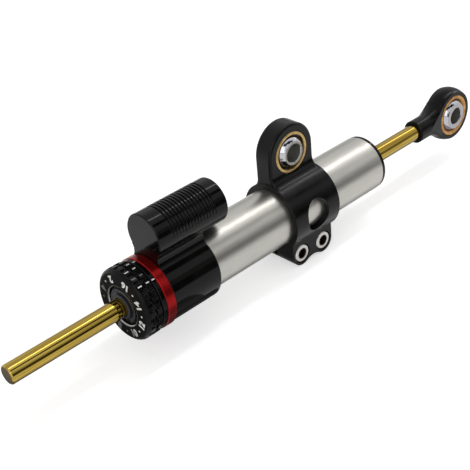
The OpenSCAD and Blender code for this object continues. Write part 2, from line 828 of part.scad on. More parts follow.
module metering_spool() {
    mid = spool_x + spool_len / 2;
    oil_groove_w = 1.4;
    oil_groove_depth = 0.6;
    color("darkkhaki") placed() difference() {
        ring(hub_r + running, spool_r, spool_x, spool_x + spool_len);
        ring(spool_r - oil_groove_depth, spool_r + 1, mid - oil_groove_w / 2,
             mid + oil_groove_w / 2);
        translate([0, 0, -spool_pin_r])
            span(spool_pin_d / 2 + running, spool_x - 1, spool_x + spool_len + 1);
        for (i = [-1:1])
            rotate([45 * i, 0, 0]) translate([mid, 0, hub_r - 1])
                cylinder(d = 1 + 0.3 * i, h = spool_r);
    }
}

module spool_pin() {
    color("silver") placed() translate([0, 0, -spool_pin_r])
        span(spool_pin_d / 2, pin_seat_x + slip, flange_x - slip);
}

// Clamp

module clamp_bracket() {
    color("black") placed() translate([clamp_x, 0, 0]) difference() {
        union() {
            bar(clamp_r, -clamp_w / 2, clamp_w / 2);
            lug_plate();
            for (side = [-1, 1]) lug_cheek(side);
            clamp_ears();
        }
        bar(tube_r + slip, -clamp_w, clamp_w);
        translate([-clamp_w, -slit_w / 2, -ear_z - 1])
            cube([2 * clamp_w, slit_w, ear_z + 1]);
        clamp_window();
        translate([0, lug_y, lug_z]) rotate([90, 0, 0])
            cylinder(r = clamp_race_d / 2 + slip, h = 2 * lug_t, center = true);
        for (side = [-1, 1]) translate([side * screw_pitch / 2, 0, -screw_z]) screw_hole();
    }
}

// Upright plate of the lug, rounded over its top and along its edges
module lug_plate() {
    half = lug_t / 2;
    edge = arc([lug_r - lug_edge, half - lug_edge], lug_edge, 0, 90);
    foot = arc([lug_r - lug_edge, lug_edge - half], lug_edge, -90, 0);
    profile = concat([[0, -half]], foot, edge, [[0, half]]);
    translate([0, lug_y, 0]) {
        translate([0, 0, lug_z]) rotate([90, 0, 0]) rotate_extrude() polygon(profile);
        for (side = [0, 1]) mirror([side, 0, 0]) linear_extrude(lug_z) polygon(profile);
    }
}

// Fillet between one face of the lug and the round of the clamp. Its hollow is turned, and
// widens at both ends by the same rounding that the lug's edges have
module lug_cheek(side) {
    face = lug_y + side * lug_t / 2;
    y = face + side * lug_fillet;
    z = sqrt(pow(clamp_r + lug_fillet, 2) - y * y);
    wide = lug_fillet + lug_edge;
    difference() {
        rotate([90, 0, 90]) linear_extrude(2 * lug_r, center = true)
            polygon([[0, 0], [lug_y, z], [face, z], [y, z]]);
        translate([0, y, z])
            turned(concat([[0, -lug_r - 1], [wide, -lug_r - 1]],
                          arc([wide, lug_edge - lug_r], lug_edge, -90, -180),
                          arc([wide, lug_r - lug_edge], lug_edge, 180, 90),
                          [[wide, lug_r + 1], [0, lug_r + 1]]));
    }
}

// Both ears: round about each screw, and joined from below by a hollow that touches both
module clamp_ears() {
    half = screw_pitch / 2;
    hollow_z = -screw_z - sqrt(pow(ear_r + hollow_r, 2) - half * half);
    rotate([90, 0, 0]) linear_extrude(2 * ear_y, center = true) difference() {
        union() {
            for (side = [-1, 1]) translate([side * half, -screw_z]) circle(r = ear_r);
            translate([-half - ear_r, -screw_z])
                square([2 * (half + ear_r), screw_z - ear_y / 2]);
            polygon([[-half, -screw_z], [half, -screw_z], [0, hollow_z]]);
        }
        translate([0, hollow_z]) circle(r = hollow_r);
    }
}

module clamp_window() {
    r = window_w / 2;
    straight = max(window_h - window_w, 0);
    translate([0, 0, window_z]) rotate([90, 0, 0]) {
        for (side = [-1, 1]) translate([0, side * straight / 2, 0])
            cylinder(r = r, h = 4 * clamp_r, center = true);
        cube([window_w, straight, 4 * clamp_r], center = true);
    }
}

// Counterbore and clearance hole in the near ear, and thread bore in the far ear
module screw_hole() {
    rotate([-90, 0, 0]) {
        translate([0, 0, -ear_y - 1]) cylinder(r = screw_head_d / 2 + 0.25, h = 1 + screw_head_h + 0.1);
        translate([0, 0, -ear_y]) cylinder(r = screw_d / 2 + 0.25, h = ear_y);
        cylinder(r = screw_d / 2 + slip, h = ear_y - 1);
    }
}

module clamp_race() {
    color("goldenrod") race(clamp_race_d / 2, lug_t, clamp_ball_d);
}

module clamp_ball() {
    color("gainsboro") ball(clamp_ball_d);
}

module clamp_screws() {
    head_r = screw_head_d / 2;
    edge = 0.5;
    tip_short = 2.1;
    tip = 2 * ear_y - tip_short;
    color("gainsboro") placed()
        for (side = [-1, 1])
            translate([clamp_x + side * screw_pitch / 2, -ear_y + 0.1, -screw_z]) rotate([-90, 0, 0])
                difference() {
                    rotate_extrude() polygon([[0, 0], [head_r - edge, 0], [head_r, edge],
                        [head_r, screw_head_h], [screw_d / 2, screw_head_h],
                        [screw_d / 2, tip - edge], [screw_d / 2 - edge, tip], [0, tip]]);
                    translate([0, 0, -1]) cylinder(d = screw_socket / cos(30),
                        h = 1 + screw_head_h / 2, $fn = 6);
                }
}

damper_rod();
piston();
piston_band();
piston_clips();
rod_end();
rod_end_race();
rod_end_ball();
tube();
end_cap();
end_bush();
end_seal();
end_wiper();
end_o_ring();
valve_housing();
front_gland();
front_bush();
front_seal();
front_wiper();
front_o_ring();
red_ring();
index_ring();
detent_ball();
detent_spring();
adjuster_knob();
knob_washer();
knob_circlip();
metering_spool();
spool_pin();
floating_piston();
floater_o_ring();
reservoir_plug();
plug_o_ring();
plug_circlip();
fill_screw();
clamp_bracket();
clamp_race();
clamp_ball();
clamp_screws();
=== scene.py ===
# %% [markdown]
# A motorcycle steering damper: a silver tube with a golden rod through it, a black
# valve end with a numbered dial, a clamp with a ball joint and a rod end.
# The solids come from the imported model, already in metres and in one frame. This script
# gives each of them its finish, paints the dial and lights the whole like a studio shot.

# %% Load the fixed frame
import math

import bmesh
import bpy
from mathutils import Matrix, Vector


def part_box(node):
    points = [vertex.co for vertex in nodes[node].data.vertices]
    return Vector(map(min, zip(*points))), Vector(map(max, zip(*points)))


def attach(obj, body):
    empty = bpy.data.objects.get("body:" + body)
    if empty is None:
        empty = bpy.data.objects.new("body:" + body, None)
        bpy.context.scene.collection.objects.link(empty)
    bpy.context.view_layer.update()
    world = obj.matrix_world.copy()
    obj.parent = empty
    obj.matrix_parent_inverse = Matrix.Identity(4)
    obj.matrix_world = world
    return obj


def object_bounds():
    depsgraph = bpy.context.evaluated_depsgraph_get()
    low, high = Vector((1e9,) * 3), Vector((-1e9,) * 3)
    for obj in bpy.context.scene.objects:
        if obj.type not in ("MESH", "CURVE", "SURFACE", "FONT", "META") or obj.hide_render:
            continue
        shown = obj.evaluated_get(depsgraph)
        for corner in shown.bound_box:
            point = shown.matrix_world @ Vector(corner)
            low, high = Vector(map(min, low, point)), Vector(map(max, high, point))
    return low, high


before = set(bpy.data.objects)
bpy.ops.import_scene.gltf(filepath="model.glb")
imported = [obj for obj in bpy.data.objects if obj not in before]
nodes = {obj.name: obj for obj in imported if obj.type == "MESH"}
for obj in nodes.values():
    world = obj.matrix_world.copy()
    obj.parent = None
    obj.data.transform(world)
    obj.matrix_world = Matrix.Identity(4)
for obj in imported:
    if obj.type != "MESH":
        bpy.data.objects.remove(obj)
cad_low, cad_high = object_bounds()
print("CAD box in mm:", [round(1000 * (b - a), 1) for a, b in zip(cad_low, cad_high)])

# %% [markdown]
# The camera comes first, so that every later choice is judged from the right place.
# The rod, the ring edges and both ball joints fix it: a long lens from the front left,
# above the part, rolled by a few degrees.

# %% Camera
PHOTO_SIDE = 470
FOCAL_IN_PIXELS = 1003.5
SENSOR_MM = 36.0
CAMERA_PLACE = (-0.26677, -0.26904, 0.19814)
CAMERA_TURN = (57.645, 4.910, -44.189)

camera_data = bpy.data.cameras.new("camera")
camera_data.sensor_width = SENSOR_MM
camera_data.lens = FOCAL_IN_PIXELS / PHOTO_SIDE * SENSOR_MM
camera_data.clip_start = 0.01
camera_data.clip_end = 20.0
camera = bpy.data.objects.new("camera", camera_data)
camera.location = CAMERA_PLACE
camera.rotation_euler = [math.radians(a) for a in CAMERA_TURN]
bpy.context.scene.collection.objects.link(camera)
bpy.context.scene.camera = camera
print("lens in mm:", round(camera_data.lens, 2))

# %% [markdown]
# Where things are. The rod's axis runs along X below the origin, which is the centre of
# the clamp's ball. Its place and the knob's face and radius are measured on the solids,
# so nothing here is typed twice.

# %% Axes and faces of the solids
tube_low, tube_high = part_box("tube")
AXIS_Y = (tube_low.y + tube_high.y) / 2
AXIS_Z = (tube_low.z + tube_high.z) / 2
knob_low, knob_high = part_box("adjuster_knob")
KNOB_FACE_X = knob_low.x
KNOB_RADIUS = (knob_high.y - knob_low.y) / 2
print("rod axis in mm:", round(1000 * AXIS_Y, 2), round(1000 * AXIS_Z, 2))
print("knob face and radius in mm:", round(1000 * KNOB_FACE_X, 2), round(1000 * KNOB_RADIUS, 2))

# %% [markdown]
# Every finish is a small node tree. These helpers keep the trees short. One makes a
# material and sets the plain values on the shader's own sockets, and one links patterns
# to those sockets. The others add a node, a noise pattern in real size, a range of
# values, a mix of two colours, sums and comparisons, and the distance from an axis.
# Most values of a noise pattern lie in NOISE_RANGE, so its ramps start there, and those
# that should show clearer patches start from the narrower NOISE_MIDDLE.

# %% Helpers for node trees
NOISE_RANGE = (0.3, 0.7)
NOISE_MIDDLE = (0.35, 0.65)


def new_material(name, color, metallic, roughness, **sockets):
    material = bpy.data.materials.new(name)
    material.use_nodes = True
    tree = material.node_tree
    shader = tree.nodes["Principled BSDF"]
    shader.inputs["Base Color"].default_value = (*color, 1)
    shader.inputs["Metallic"].default_value = metallic
    shader.inputs["Roughness"].default_value = roughness
    for socket, value in sockets.items():
        shader.inputs[socket.replace("_", " ")].default_value = value
    return material, tree, shader


def wire(tree, shader, **patterns):
    """Links each pattern to the shader's socket of the same name."""
    for socket, value in patterns.items():
        tree.links.new(value, shader.inputs[socket.replace("_", " ")])


def add(tree, kind, inputs=None, **settings):
    node = tree.nodes.new("ShaderNode" + kind)
    for key, value in settings.items():
        setattr(node, key, value)
    for key, value in (inputs or {}).items():
        if isinstance(value, bpy.types.NodeSocket):
            tree.links.new(value, node.inputs[key])
        else:
            node.inputs[key].default_value = value
    return node


def place(tree):
    """Object coordinates, in metres."""
    return add(tree, "TexCoord").outputs["Object"]


def noise(tree, where, scale, detail=3.0, rough=0.5):
    """A cloudy pattern, with scale cells to the metre or to the unit that where is in."""
    settings = {"Vector": where, "Scale": scale, "Detail": detail, "Roughness": rough}
    return add(tree, "TexNoise", settings).outputs["Fac"]


def ramp(tree, value, low, high, to_low=0.0, to_high=1.0):
    """Maps the range from low to high onto the one from to_low to to_high."""
    limits = {"From Min": low, "From Max": high, "To Min": to_low, "To Max": to_high}
    return add(tree, "MapRange", {"Value": value, **limits}).outputs["Result"]


def blend_colors(tree, factor, first, second):
    """The first colour where the factor is 0, and the second where it is 1."""
    mix = add(tree, "Mix", data_type="RGBA")
    for socket, value in (("Factor", factor), ("A", first), ("B", second)):
        target = [i for i in mix.inputs if i.name == socket and i.enabled][0]
        if isinstance(value, bpy.types.NodeSocket):
            tree.links.new(value, target)
        else:
            target.default_value = (*value, 1)
    return [o for o in mix.outputs if o.enabled][0]


def math_node(tree, operation, a, b=0.0, c=0.0):
    return add(tree, "Math", {0: a, 1: b, 2: c}, operation=operation).outputs[0]


def times(tree, a, b):
    return math_node(tree, "MULTIPLY", a, b)


def minus(tree, a, b):
    return math_node(tree, "SUBTRACT", a, b)


def raised(tree, value, amount, share):
    """The value plus the amount times the share, a pattern of numbers from 0 to 1."""
    return math_node(tree, "MULTIPLY_ADD", share, amount, value)


def over(tree, value, limit):
    """1 where the value is over the limit, and 0 elsewhere."""
    return math_node(tree, "GREATER_THAN", value, limit)


def under(tree, value, limit):
    """1 where the value is under the limit, and 0 elsewhere."""
    return math_node(tree, "LESS_THAN", value, limit)


def combine(tree, x, y=0.0, z=0.0):
    return add(tree, "CombineXYZ", {0: x, 1: y, 2: z}).outputs[0]


def vector_math(tree, operation, a, b):
    return add(tree, "VectorMath", {0: a, 1: b}, operation=operation).outputs


def round_edges(tree, radius):
    """Normals as if every edge had this radius, in metres."""
    return add(tree, "Bevel", {"Radius": radius}, samples=8).outputs[0]


def bump(tree, shader, height, strength, depth, edge=None):
    """Bumps the surface. edge, if given, is the radius that rounds its edges."""
    inputs = {"Height": height, "Strength": strength, "Distance": depth}
    if edge is not None:
        inputs["Normal"] = round_edges(tree, edge)
    wire(tree, shader, Normal=add(tree, "Bump", inputs).outputs[0])


def edge_wear(tree, radius, low, high):
    """1 along sharp edges and 0 on open faces: how far the rounded normal leaves the true one."""
    true_normal = add(tree, "NewGeometry").outputs["True Normal"]
    aligned = vector_math(tree, "DOT_PRODUCT", round_edges(tree, radius), true_normal)["Value"]
    return ramp(tree, aligned, high, low)


def distance(tree, a, b):
    """Distance from an axis, out of the two offsets across it."""
    squares = math_node(tree, "ADD", times(tree, a, a), times(tree, b, b))
    return math_node(tree, "SQRT", squares)


def around_rod(tree):
    """Distance from the rod's axis, the angle about it and the place along it."""
    parts = add(tree, "SeparateXYZ", {0: place(tree)}).outputs
    y = minus(tree, parts["Y"], AXIS_Y)
    z = minus(tree, parts["Z"], AXIS_Z)
    return distance(tree, y, z), math_node(tree, "ARCTAN2", z, y), parts["X"]


def around_bolt(tree, centre_x, centre_z):
    """Distance from a bolt's axis, which runs along Y, and the place along it."""
    parts = add(tree, "SeparateXYZ", {0: place(tree)}).outputs
    x = minus(tree, parts["X"], centre_x)
    z = minus(tree, parts["Z"], centre_z)
    return distance(tree, x, z), parts["Y"]


print("helpers ready")

# %% [markdown]
# The black parts are anodised aluminium. The dye sits in a thin oxide layer, so the
# surface is dark but not dull: a soft sheen, a very fine grain left by blasting, lines
# from the lathe on the round pieces, and edges that look a little paler because the
# layer is thin and rubbed there. The knob's edges are paler still: rubbed, and lightened
# more as a painted glint where they catch the light. Its flat face is duller, and the
# edge of its recess is bare.

# %% Black anodised aluminium
BLACK_DEEP = (0.0014, 0.0014, 0.0013)
BLACK_PALE = (0.0038, 0.0038, 0.0035)
RUBBED = (0.028, 0.028, 0.028)
# The knob's edge colour is wear and a painted glint where its edges catch the light.
KNOB_RUBBED_AND_GLINT = (0.085, 0.085, 0.083)
BARE_METAL = (0.34, 0.34, 0.33)
WEAR_WIDTH = 0.00025
WEAR_LIMITS = (0.86, 0.985)
FACE_DULLNESS = 0.50
GRAIN_STRENGTH = 0.10
LINE_DEPTH = 0.00002
MACHINED_EDGE = 0.00018


def black_anodised(name, roughness, grain=1.0, turned_lines=0.0, bare=None, dull_face=None,
                   shine=0.15, rubbed_and_glint=RUBBED):
    """roughness is its lowest and highest value, and rubbed_and_glint the colour of worn edges,
    which on the knob is paler still, as a painted glint. bare, if given, is (inner radius,
    outer radius, farthest x) of a lathe-bright edge, and dull_face the x up to which the face
    is duller."""
    material, tree, shader = new_material(name, BLACK_PALE, metallic=0.0, roughness=0.3,
                                          Specular_IOR_Level=shine)
    cloud = noise(tree, place(tree), scale=160, detail=4)
    wear = edge_wear(tree, WEAR_WIDTH, *WEAR_LIMITS)
    patches = ramp(tree, noise(tree, place(tree), scale=420), *NOISE_MIDDLE)
    color = blend_colors(tree, ramp(tree, cloud, *NOISE_RANGE), BLACK_DEEP, BLACK_PALE)
    color = blend_colors(tree, times(tree, wear, patches), color, rubbed_and_glint)
    radial, _, along = around_rod(tree)
    if bare:
        inner, outer, farthest = bare
        cut = times(tree, over(tree, radial, inner), under(tree, radial, outer))
        cut = times(tree, cut, under(tree, along, farthest))
        color = blend_colors(tree, cut, color, BARE_METAL)
        wire(tree, shader, Metallic=cut)
    rough = ramp(tree, cloud, *NOISE_RANGE, *roughness)
    if dull_face:
        rough = raised(tree, rough, FACE_DULLNESS, under(tree, along, dull_face))
    wire(tree, shader, Base_Color=color, Roughness=rough)
    height = noise(tree, place(tree), scale=9000, detail=2)
    if turned_lines:
        lines = noise(tree, combine(tree, along, radial), scale=5200, detail=2)
        height = raised(tree, height, turned_lines, lines)
    bump(tree, shader, height, GRAIN_STRENGTH * grain, LINE_DEPTH, MACHINED_EDGE)
    return material


RECESS_RADIUS = 0.00845
RECESS_CHAMFER = 0.0004
BARE_SLACK = 0.0001
FACE_SLACK = 0.0002
bare_rim = (RECESS_RADIUS - BARE_SLACK, RECESS_RADIUS + RECESS_CHAMFER + BARE_SLACK,
            KNOB_FACE_X + RECESS_CHAMFER + BARE_SLACK)

black_housing = black_anodised("black_housing", (0.09, 0.15), grain=0.35, turned_lines=1.5,
                               shine=0.145)
black_clamp = black_anodised("black_clamp", (0.19, 0.27))
black_rod_end = black_anodised("black_rod_end", (0.17, 0.25), shine=0.115)
black_knob = black_anodised("black_knob", (0.10, 0.17), turned_lines=3.0, shine=0.09,
                            rubbed_and_glint=KNOB_RUBBED_AND_GLINT, bare=bare_rim, dull_face=KNOB_FACE_X + FACE_SLACK)
print("black finishes:", black_housing.name, black_clamp.name, black_rod_end.name, black_knob.name)

# %% [markdown]
# The red ring has the same oxide layer with a red dye. Bare metal shines through the
# dye, so the colour is carried by a metallic reflection and turns deep where it is dark.

# %% Red anodised aluminium
RED = (0.26, 0.006, 0.007)
RED_DEEP = (0.22, 0.004, 0.005)
RED_BRIGHT = (0.31, 0.008, 0.009)
RED_ROUGHNESS = (0.20, 0.32)

red_anodised, tree, shader = new_material("red_anodised", RED, metallic=0.75, roughness=0.26,
                                          Specular_IOR_Level=0.15)
radial, _, along = around_rod(tree)
ring_lines = noise(tree, combine(tree, along, radial), scale=6500, detail=2)
red_cloud = noise(tree, place(tree), scale=220)
wire(tree, shader, Base_Color=blend_colors(tree, red_cloud, RED_DEEP, RED_BRIGHT),
     Roughness=ramp(tree, ring_lines, *NOISE_RANGE, *RED_ROUGHNESS))
bump(tree, shader, ring_lines, strength=0.12, depth=LINE_DEPTH, edge=MACHINED_EDGE)
print("red finish:", red_anodised.name)

# %% [markdown]
# The tube is ground and clear anodised. Grinding leaves hair lines round the tube,
# which smear each reflection along it and keep it crisp across: the long bright and
# dark bands of the photograph. Fine noise that changes fast along X makes the lines.

# %% Ground aluminium tube
SILVER = (0.45, 0.44, 0.407)
SILVER_DARK = (0.41, 0.400, 0.368)
SILVER_PALE = (0.49, 0.480, 0.446)
HAIRS_ALONG = 9000
HAIRS_ROUND = 5.0
HAIR_RANGE = (0.25, 0.75)
HAIR_DEPTH = 0.000012
CLOUDS_ALONG = 120
CLOUDS_ROUND = 7.0
TUBE_ROUGHNESS = (0.28, 0.40)
TUBE_EDGE = 0.00015

tube_metal, tree, shader = new_material("tube_metal", SILVER, metallic=1.0, roughness=0.34)
_, turn, along = around_rod(tree)
hair = combine(tree, times(tree, along, HAIRS_ALONG), times(tree, turn, HAIRS_ROUND))
hair_lines = noise(tree, hair, scale=1.0, rough=0.6)
slow = combine(tree, times(tree, along, CLOUDS_ALONG), times(tree, turn, CLOUDS_ROUND))
silver = blend_colors(tree, noise(tree, slow, scale=1.0), SILVER_DARK, SILVER_PALE)
wire(tree, shader, Base_Color=silver, Roughness=ramp(tree, hair_lines, *HAIR_RANGE, *TUBE_ROUGHNESS))
bump(tree, shader, hair_lines, strength=0.22, depth=HAIR_DEPTH, edge=TUBE_EDGE)
print("tube finish:", tube_metal.name)

# %% [markdown]
# The rod carries a hard golden nitride coat over a polished grind. It is the glossiest
# piece, so it shows the studio as sharp stripes. Thin lengthwise streaks of darker and
# paler gold break them up. The cut tip is bare steel and dull.

# %% Gold coated rod
GOLD = (0.42, 0.29, 0.06)
GOLD_DARK = (0.22, 0.14, 0.020)
GOLD_PALE = (0.50, 0.36, 0.075)
STREAKS_ALONG = 18.0
STREAKS_ROUND = 4.0
STREAK_DEPTH = 0.00003
ROD_ROUGHNESS = (0.03, 0.07)
ROD_EDGE = 0.00012
TIP_DARK = (0.16, 0.12, 0.075)
TIP_PALE = (0.30, 0.23, 0.15)
TIP_RINGS = 5000
TIP_RADIUS = 0.0036
TIP_SLACK = 0.00005
TIP_DULLNESS = 0.34

rod_gold, tree, shader = new_material("rod_gold", GOLD, metallic=1.0, roughness=0.10)
radial, turn, along = around_rod(tree)
across = [times(tree, math_node(tree, wave, turn), STREAKS_ROUND) for wave in ("COSINE", "SINE")]
streak_at = combine(tree, times(tree, along, STREAKS_ALONG), *across)
streaks = noise(tree, streak_at, scale=1.0, detail=4, rough=0.6)
gold = blend_colors(tree, ramp(tree, streaks, *NOISE_MIDDLE), GOLD_DARK, GOLD_PALE)
rod_front_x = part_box("damper_rod")[0].x
on_tip = times(tree, under(tree, along, rod_front_x + TIP_SLACK), under(tree, radial, TIP_RADIUS))
tip_rings = noise(tree, combine(tree, times(tree, radial, TIP_RINGS)), scale=1.0, detail=2)
tip_color = blend_colors(tree, tip_rings, TIP_DARK, TIP_PALE)
rough = ramp(tree, streaks, *NOISE_RANGE, *ROD_ROUGHNESS)
wire(tree, shader, Base_Color=blend_colors(tree, on_tip, gold, tip_color),
     Roughness=raised(tree, rough, TIP_DULLNESS, on_tip))
bump(tree, shader, streaks, strength=0.03, depth=STREAK_DEPTH, edge=ROD_EDGE)
print("rod finish:", rod_gold.name)

# %% [markdown]
# The balls are hardened bearing steel, polished like a mirror. Their bores are only
# drilled, and darker, matt and not metallic. Their flat ends are ground, so they are
# duller, and their colour is darkened as painted shade, more on the clamp's ball than on
# the rod end's. The bore is told from the sphere by its distance from the bolt's axis,
# which runs along Y, and the flat ends by their place along it.

# %% Polished steel balls
STEEL = (0.45, 0.45, 0.47)
STEEL_DARK = (0.38, 0.38, 0.41)
STEEL_PALE = (0.48, 0.48, 0.51)
BORE_DARK = (0.055, 0.055, 0.045)
BORE_PALE = (0.140, 0.138, 0.115)
DETENT_STEEL = (0.62, 0.62, 0.64)
END_SHADE_SPREAD = (0.8, 1.15)
MARK_STRETCH = (1, 6, 1)
MARK_DEPTH = 0.00001
BALL_ROUGHNESS = (0.04, 0.10)
BALL_EDGE = 0.0002
BORE_RADIUS = 0.004
BORE_SLACK = 0.00015
BORE_DULLNESS = 0.45
END_SLACK = 0.00008
END_DULLNESS = 0.12


def ball_steel(name, piece, end_shade):
    """end_shade is the colour of the flat ends, darkened as painted shade."""
    low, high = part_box(piece)
    material, tree, shader = new_material(name, STEEL, metallic=1.0, roughness=0.07)
    marks_at = vector_math(tree, "MULTIPLY", place(tree), MARK_STRETCH)["Vector"]
    marks = noise(tree, marks_at, scale=900)
    radial, along = around_bolt(tree, (low.x + high.x) / 2, (low.z + high.z) / 2)
    from_middle = math_node(tree, "ABSOLUTE", minus(tree, along, (low.y + high.y) / 2))
    on_end = over(tree, from_middle, (high.y - low.y) / 2 - END_SLACK)
    in_bore = under(tree, radial, BORE_RADIUS + BORE_SLACK)
    bore_color = blend_colors(tree, noise(tree, place(tree), scale=2400), BORE_DARK, BORE_PALE)
    steel = blend_colors(tree, marks, STEEL_DARK, STEEL_PALE)
    shaded_end_colors = [[c * share for c in end_shade] for share in END_SHADE_SPREAD]
    steel = blend_colors(tree, on_end, steel, blend_colors(tree, marks, *shaded_end_colors))
    rough = ramp(tree, marks, *NOISE_RANGE, *BALL_ROUGHNESS)
    rough = raised(tree, rough, END_DULLNESS, on_end)
    wire(tree, shader, Base_Color=blend_colors(tree, in_bore, steel, bore_color),
         Metallic=minus(tree, 1.0, in_bore), Roughness=raised(tree, rough, BORE_DULLNESS, in_bore))
    bump(tree, shader, marks, strength=0.03, depth=MARK_DEPTH, edge=BALL_EDGE)
    return material


# The last argument is the flat ends' colour, painted shade, darker on the clamp's ball.
clamp_ball_steel = ball_steel("clamp_ball_steel", "clamp_ball", (0.22, 0.21, 0.185))
eye_ball_steel = ball_steel("eye_ball_steel", "rod_end_ball", (0.33, 0.32, 0.335))
detent_steel, tree, shader = new_material("detent_steel", DETENT_STEEL, metallic=1.0, roughness=0.08)
grains = noise(tree, place(tree), scale=3000, detail=2)
bump(tree, shader, grains, strength=0.03, depth=MARK_DEPTH)
print("ball finishes:", clamp_ball_steel.name, eye_ball_steel.name, detent_steel.name)

# %% [markdown]
# The races are turned bearing bronze: yellow in the clamp, more coppery in the rod end.
# Turning lines run round the bolt's axis, so the pattern follows the distance from it,
# and the lip next to the ball is darker.

# %% Turned bronze races
YELLOW_DARK = (0.29, 0.19, 0.07)
YELLOW_BRIGHT = (0.50, 0.35, 0.15)
COPPER_DARK = (0.27, 0.13, 0.04)
COPPER_BRIGHT = (0.47, 0.25, 0.075)
CLAMP_LIP = 0.0081
EYE_LIP = 0.0084
LIP_WIDTH = 0.0004
LIP_SHARE = 0.12
RACE_ROUGHNESS = (0.20, 0.34)


def turned_bronze(name, dark, bright, lip, centre_x, centre_z):
    """lip is the radius where the dark lip ends."""
    material, tree, shader = new_material(name, bright, metallic=1.0, roughness=0.27)
    radial, _ = around_bolt(tree, centre_x, centre_z)
    rings = noise(tree, combine(tree, radial), scale=7000)
    cloud = ramp(tree, noise(tree, place(tree), scale=380), *NOISE_MIDDLE)
    lip_color = [c * LIP_SHARE for c in dark]
    bronze = blend_colors(tree, cloud, dark, bright)
    off_lip = ramp(tree, radial, lip - LIP_WIDTH, lip)
    wire(tree, shader, Base_Color=blend_colors(tree, off_lip, lip_color, bronze),
         Roughness=ramp(tree, rings, *NOISE_RANGE, *RACE_ROUGHNESS))
    bump(tree, shader, rings, strength=0.18, depth=LINE_DEPTH, edge=BALL_EDGE)
    return material


eye_low, eye_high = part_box("rod_end_race")
EYE_X = (eye_low.x + eye_high.x) / 2
race_brass = turned_bronze("race_brass", YELLOW_DARK, YELLOW_BRIGHT, CLAMP_LIP,
                           centre_x=0.0, centre_z=0.0)
race_copper = turned_bronze("race_copper", COPPER_DARK, COPPER_BRIGHT, EYE_LIP,
                            centre_x=EYE_X, centre_z=AXIS_Z)
print("race finishes:", race_brass.name, race_copper.name)

# %% [markdown]
# The small hidden and half hidden pieces are plainer: bright screws, spring steel
# clips, rubber and seal plastic, and near black machined glands and washer, whose dark
# is painted shade for the knob's shaded recess. One helper gives each of them a cloudy
# colour and a grain of its own, which is all that ever shows of them. A row says the
# colour, how metallic it is, the roughness, the grains to the metre, how strongly they
# show and, for the washer, how little the colour varies.

# %% Finishes of the small pieces
CLOUD_TO_GRAIN = 6
ROUGH_SPREAD = (0.85, 1.15)
SMALL_EDGE = 0.00015
SMALL_FINISHES = {
    "screw_zinc": ((0.52, 0.51, 0.49), 1.0, 0.30, 5200, 0.25),
    # The washer's and the glands' near black is painted shade, from the knob's dark recess.
    "shaded_washer": ((0.011, 0.011, 0.012), 1.0, 0.30, 4000, 0.08, 0.08),
    "gland_grey": ((0.006, 0.0072, 0.012), 1.0, 0.30, 4200, 0.12),
    "spring_steel": ((0.10, 0.10, 0.105), 0.9, 0.38, 4200, 0.2),
    "piston_metal": ((0.55, 0.56, 0.58), 1.0, 0.30, 4200, 0.15),
    "spool_brass": ((0.60, 0.45, 0.18), 1.0, 0.28, 4200, 0.15),
    "bush_bronze": ((0.42, 0.30, 0.14), 0.8, 0.42, 5200, 0.3),
    "band_plastic": ((0.26, 0.17, 0.07), 0.0, 0.5, 5200, 0.3),
    "seal_plastic": ((0.03, 0.12, 0.08), 0.0, 0.42, 3200, 0.15),
    "rubber": ((0.018, 0.018, 0.018), 0.0, 0.62, 5200, 0.4),
}


def small_finish(name, color, metallic, rough, grain_scale, grain, spread=0.25):
    """spread is how far the colour varies, as a share of it."""
    material, tree, shader = new_material(name, color, metallic, rough)
    cloud = noise(tree, place(tree), grain_scale / CLOUD_TO_GRAIN)
    dark = [c * (1 - spread) for c in color]
    light = [c * (1 + spread) for c in color]
    wire(tree, shader, Base_Color=blend_colors(tree, cloud, dark, light),
         Roughness=ramp(tree, cloud, *NOISE_RANGE, *(rough * share for share in ROUGH_SPREAD)))
    grains = noise(tree, place(tree), grain_scale, detail=2)
    bump(tree, shader, grains, grain, LINE_DEPTH, SMALL_EDGE)
    return material


small = {name: small_finish(name, *row) for name, row in SMALL_FINISHES.items()}
print("small finishes:", len(small))

# %% [markdown]
# The clamp screws are zinc plated, but their hexagon sockets are darker and duller.
# Both screws lie at the same distance on either side of the origin, so the distance to
# the nearer screw's axis comes from the size of x without its sign.

# %% Clamp screws with dark sockets
ZINC = (0.52, 0.51, 0.49)
ZINC_DARK = (0.40, 0.39, 0.37)
ZINC_PALE = (0.60, 0.59, 0.56)
SOCKET_DARK = (0.012, 0.009, 0.007)
SOCKET_PALE = (0.060, 0.045, 0.034)
SOCKET_RADIUS = 0.00255
SOCKET_DULLNESS = 0.3
SCREW_ROUGHNESS = (0.22, 0.36)
SCREW_EDGE = 0.00025
screws_low, screws_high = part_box("clamp_screws")
HEAD_RADIUS = (screws_high.z - screws_low.z) / 2
SCREW_X = screws_high.x - HEAD_RADIUS
SCREW_Z = (screws_high.z + screws_low.z) / 2

cap_screw, tree, shader = new_material("cap_screw", ZINC, metallic=1.0, roughness=0.3)
parts = add(tree, "SeparateXYZ", {0: place(tree)}).outputs
x = minus(tree, math_node(tree, "ABSOLUTE", parts["X"]), SCREW_X)
z = minus(tree, parts["Z"], SCREW_Z)
radial = distance(tree, x, z)
in_socket = under(tree, radial, SOCKET_RADIUS)
cloud = noise(tree, place(tree), scale=900)
zinc = blend_colors(tree, cloud, ZINC_DARK, ZINC_PALE)
socket_color = blend_colors(tree, cloud, SOCKET_DARK, SOCKET_PALE)
turned = noise(tree, combine(tree, radial), scale=6000)
rough = ramp(tree, turned, *NOISE_RANGE, *SCREW_ROUGHNESS)
wire(tree, shader, Base_Color=blend_colors(tree, in_socket, zinc, socket_color),
     Roughness=raised(tree, rough, SOCKET_DULLNESS, in_socket))
bump(tree, shader, turned, strength=0.15, depth=LINE_DEPTH, edge=SCREW_EDGE)
print("screw axes at x in mm:", round(-1000 * SCREW_X, 2), round(1000 * SCREW_X, 2))

# %% [markdown]
# Each solid keeps its shape and only takes its finish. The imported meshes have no
# material that is worth keeping, so the slots are cleared first.

